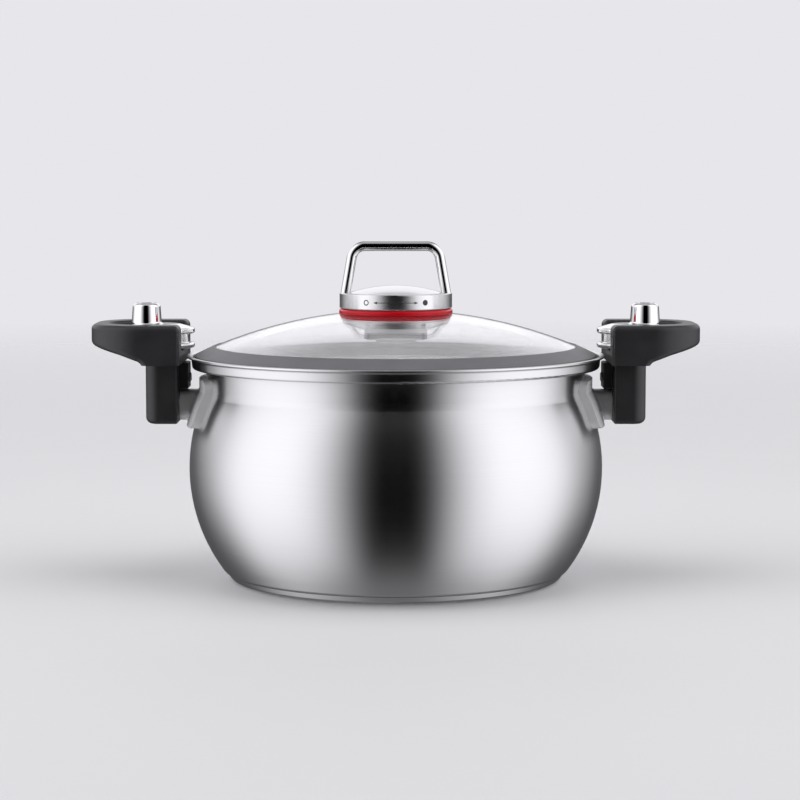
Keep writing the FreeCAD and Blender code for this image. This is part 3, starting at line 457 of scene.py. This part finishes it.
def add_valve_spring():
    """The valve's coil spring under the dial's cap, carried with the valve as one piece."""
    low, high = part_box("valve_spring")
    radius = (high.x - low.x) / 2 - SPRING_WIRE_RADIUS
    start = low.z + SPRING_WIRE_RADIUS
    rise = high.z - low.z - 2 * SPRING_WIRE_RADIUS
    count = SPRING_TURNS * SPRING_STEPS
    points = []
    faces = []
    for i in range(count + 1):
        turn = 2 * math.pi * i / SPRING_STEPS
        out = Vector((math.cos(turn), math.sin(turn), 0.0))
        centre = out * radius + Vector((0.0, 0.0, start + rise * i / count))
        for k in range(SPRING_SIDES):
            angle = 2 * math.pi * k / SPRING_SIDES
            spoke = out * math.cos(angle) + Vector((0.0, 0.0, math.sin(angle)))
            points.append(centre + spoke * SPRING_WIRE_RADIUS)
    for i in range(count):
        for k in range(SPRING_SIDES):
            here = i * SPRING_SIDES + k
            beside = i * SPRING_SIDES + (k + 1) % SPRING_SIDES
            faces.append((here, here + SPRING_SIDES, beside + SPRING_SIDES, beside))
    faces.append(tuple(range(SPRING_SIDES)))
    faces.append(tuple(count * SPRING_SIDES + k for k in reversed(range(SPRING_SIDES))))
    mesh = bpy.data.meshes.new("valve_coil")
    mesh.from_pydata(points, [], faces)
    mesh.shade_smooth()
    mesh.materials.append(MATERIALS["spring_steel"])
    spring = new_object("valve_coil", mesh)
    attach(spring, "valve")
    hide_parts("valve_spring")
    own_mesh(spring)


# ---- studio ---------------------------------------------------------------------------------------

CAMERA_PLACE = (0.0025, -1.4, 0.2397)
CAMERA_DOWN = math.radians(5.4)
CAMERA_LENS = 104.85


def add_camera():
    """The view from the front, a little above the rim."""
    data = bpy.data.cameras.new("camera")
    data.lens = CAMERA_LENS
    camera = new_object("camera", data)
    camera.location = CAMERA_PLACE
    camera.rotation_euler = (math.pi / 2 - CAMERA_DOWN, 0, 0)
    bpy.context.scene.camera = camera


# Light from around the pot, as (degrees from the front, radiance), the same on both sides.
AROUND = (
    (0, 0.002), (13, 0.004), (21, 0.12), (28, 0.38), (36, 0.72), (44, 1.02), (54, 1.28), (66, 1.4),
    (90, 1.36), (101, 1.2), (113, 0.88), (124, 0.54), (137, 0.24), (150, 0.08), (166, 0.1), (180, 0.4),
)
# Share of that light left at a height, as (height, share). Heights run from -1, straight
# down, to 1, straight up: they are sines of the elevation.
BY_HEIGHT = ((-1.0, 0.1), (-0.95, 0.2), (-0.74, 0.66), (-0.5, 0.9), (-0.25, 1.0), (1.0, 1.0))
# Places with a light of their own: its radiance, and between which degrees from the front,
# heights or depths (heights below the horizon) it comes in or goes out.
UPPER_BACK_TONE = 1.08
UPPER_BACK_IN_DEGREES = (105.0, 140.0)
UPPER_BACK_IN_HEIGHTS = (0.02, 0.14)
UPPER_BACK_OUT_HEIGHTS = (0.45, 0.7)
LOWER_BACK_TONE = 0.06
LOWER_BACK_IN_DEGREES = (95.0, 150.0)
LOWER_BACK_IN_DEPTHS = (0.12, 0.5)
NADIR_TONE = 0.26
NADIR_IN_DEPTHS = (0.8, 0.97)
CEILING_TONE = 0.5
CEILING_IN_HEIGHTS = (0.82, 0.94)
# What the camera sees behind the pot, plainly and through the glass.
BACKDROP_TONE = 0.8
THROUGH_GLASS_TONE = 1.3
LIGHT_TINT = (1.0, 0.992, 1.035)


def add_world():
    """Soft studio: dark before the pot and low behind it, bright at both sides and high behind it."""
    world = bpy.data.worlds.new("studio")
    world.use_nodes = True
    bpy.context.scene.world = world
    w = Nodes(world.node_tree)
    x, y, height = w.split(w.node("ShaderNodeTexCoord").outputs["Generated"])
    depth = w.math("MULTIPLY", height, -1.0)
    turn = w.math("ABSOLUTE", w.math("ARCTAN2", x, w.math("MULTIPLY", y, -1.0)))
    degrees = w.math("MULTIPLY", turn, 180.0 / math.pi)
    light = w.math("MULTIPLY", w.curve(degrees, AROUND), w.curve(height, BY_HEIGHT))
    back = w.step(degrees, *UPPER_BACK_IN_DEGREES)
    back = w.math("MULTIPLY", back, w.step(height, *UPPER_BACK_IN_HEIGHTS))
    back = w.math("SUBTRACT", back, w.step(height, *UPPER_BACK_OUT_HEIGHTS), clamp=True)
    light = w.towards(light, UPPER_BACK_TONE, back)
    back = w.step(degrees, *LOWER_BACK_IN_DEGREES)
    back = w.math("MULTIPLY", back, w.step(depth, *LOWER_BACK_IN_DEPTHS))
    light = w.towards(light, LOWER_BACK_TONE, back)
    light = w.towards(light, NADIR_TONE, w.step(depth, *NADIR_IN_DEPTHS))
    light = w.towards(light, CEILING_TONE, w.step(height, *CEILING_IN_HEIGHTS))
    path = w.node("ShaderNodeLightPath")
    light = w.towards(light, BACKDROP_TONE, path.outputs["Is Camera Ray"])
    light = w.towards(light, THROUGH_GLASS_TONE, path.outputs["Is Transmission Ray"])
    tinted = w.combine(*(w.math("MULTIPLY", light, share) for share in LIGHT_TINT))
    w.put(tinted, w.nodes["Background"].inputs["Color"])


TOP_LIGHT_PLACE = Vector((0.0, -0.1, 1.5))
TOP_LIGHT_AIM = Vector((0.0, 0.0, 0.1))
TOP_LIGHT_SIZE = (1.2, 0.9)
TOP_LIGHT_POWER = 6.0


def add_top_light():
    """Soft rectangular light from above, kept out of mirror reflections."""
    data = bpy.data.lights.new("top_soft", "AREA")
    data.shape = "RECTANGLE"
    data.size, data.size_y = TOP_LIGHT_SIZE
    data.energy = TOP_LIGHT_POWER
    light = new_object("top_soft", data)
    light.location = TOP_LIGHT_PLACE
    light.rotation_euler = (TOP_LIGHT_AIM - TOP_LIGHT_PLACE).to_track_quat("-Z", "Y").to_euler()
    light.visible_glossy = False


FLOOR_REACH = 2.6
FLOOR_FADE_START = 0.7
FLOOR_CORNERS = 96


def add_floor():
    """Plain pale floor that fades into the backdrop, and stays out of mirror reflections."""
    s = Shader("floor_pale", Roughness=0.6, Specular_IOR_Level=0.2)
    tone = s.noise(scale=3.0, detail=2.0)
    s.feed(s.blend(tone, grey(0.79), grey(0.8)), "Base Color")
    x, y, _ = s.split(s.place())
    clear = s.node("ShaderNodeBsdfTransparent")
    mixed = s.node("ShaderNodeMixShader")
    s.put(s.spread(s.length(x, y), 0.0, 1.0, FLOOR_FADE_START, FLOOR_REACH), mixed.inputs["Fac"])
    s.put(s.surface.outputs[0], mixed.inputs[1])
    s.put(clear.outputs[0], mixed.inputs[2])
    s.put(mixed.outputs[0], s.nodes["Material Output"].inputs["Surface"])
    mesh = bpy.data.meshes.new("floor")
    turns = [2 * math.pi * i / FLOOR_CORNERS for i in range(FLOOR_CORNERS)]
    rim = [(FLOOR_REACH * math.cos(turn), FLOOR_REACH * math.sin(turn), 0) for turn in turns]
    mesh.from_pydata(rim, [], [tuple(range(FLOOR_CORNERS))])
    mesh.materials.append(s.material)
    floor = new_object("floor", mesh)
    floor.visible_glossy = False


# ---- main -----------------------------------------------------------------------------------------

# Tones as lit, with no film curve over them.
bpy.context.scene.view_settings.view_transform = "Standard"
add_camera()
add_world()
add_top_light()
add_floor()
dress_cad_nodes()
for side, way in SIDES:
    add_weld(side, way)
add_valve_spring()
